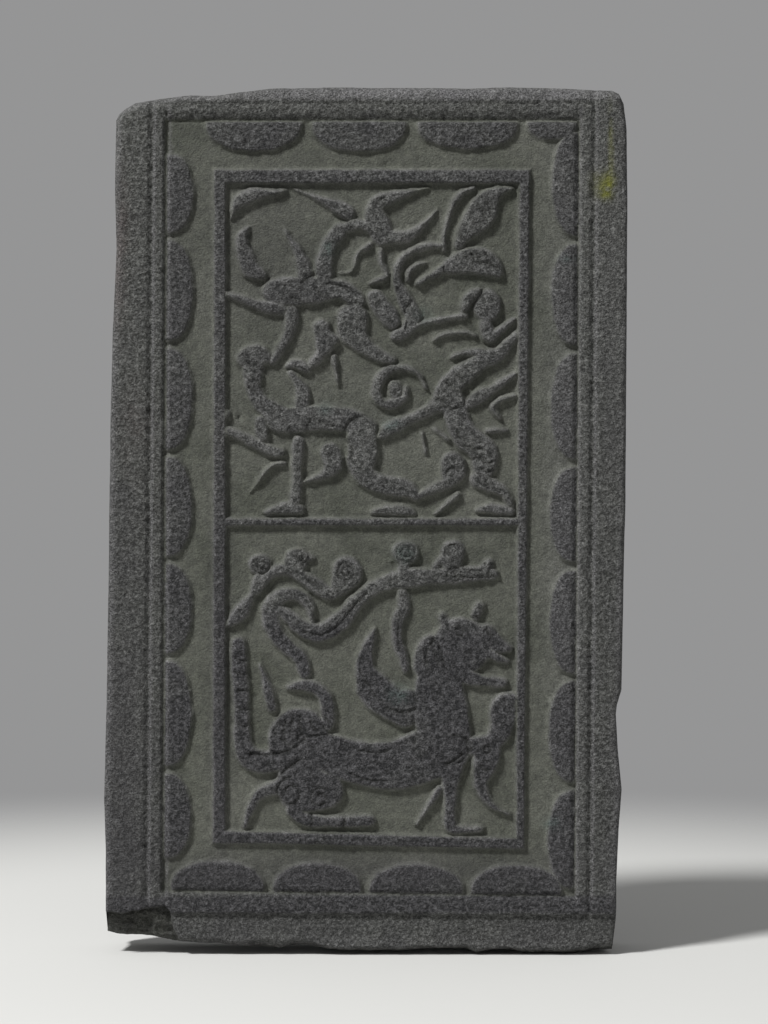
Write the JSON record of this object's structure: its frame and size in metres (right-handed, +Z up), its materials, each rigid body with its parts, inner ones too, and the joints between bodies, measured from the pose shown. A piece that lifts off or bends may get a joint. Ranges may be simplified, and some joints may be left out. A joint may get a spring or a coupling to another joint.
{
  "type": "stone relief panel",
  "caption": "Upright carved stone slab in low relief: scalloped border, barred inner frame, and beasts, a bird, a dragon and a tiger in an upper and a lower register.",
  "frame": {"origin": "middle of the flat back face, the face that goes against the wall", "axes": "+Z up the slab's long side, +Y out of the back towards the wall, so the carved face looks along -Y, +X to the right for someone facing the carving"},
  "size_m": [0.6815, 0.12, 1.132],
  "materials": {
    "dark_stone": "dark grey limestone, chisel pecked, inked and worn on the raised faces, olive grey on the sunk ground"
  },
  "bodies": {
    "root": {"relief_slab": "dark_stone"}
  },
  "joints": []
}
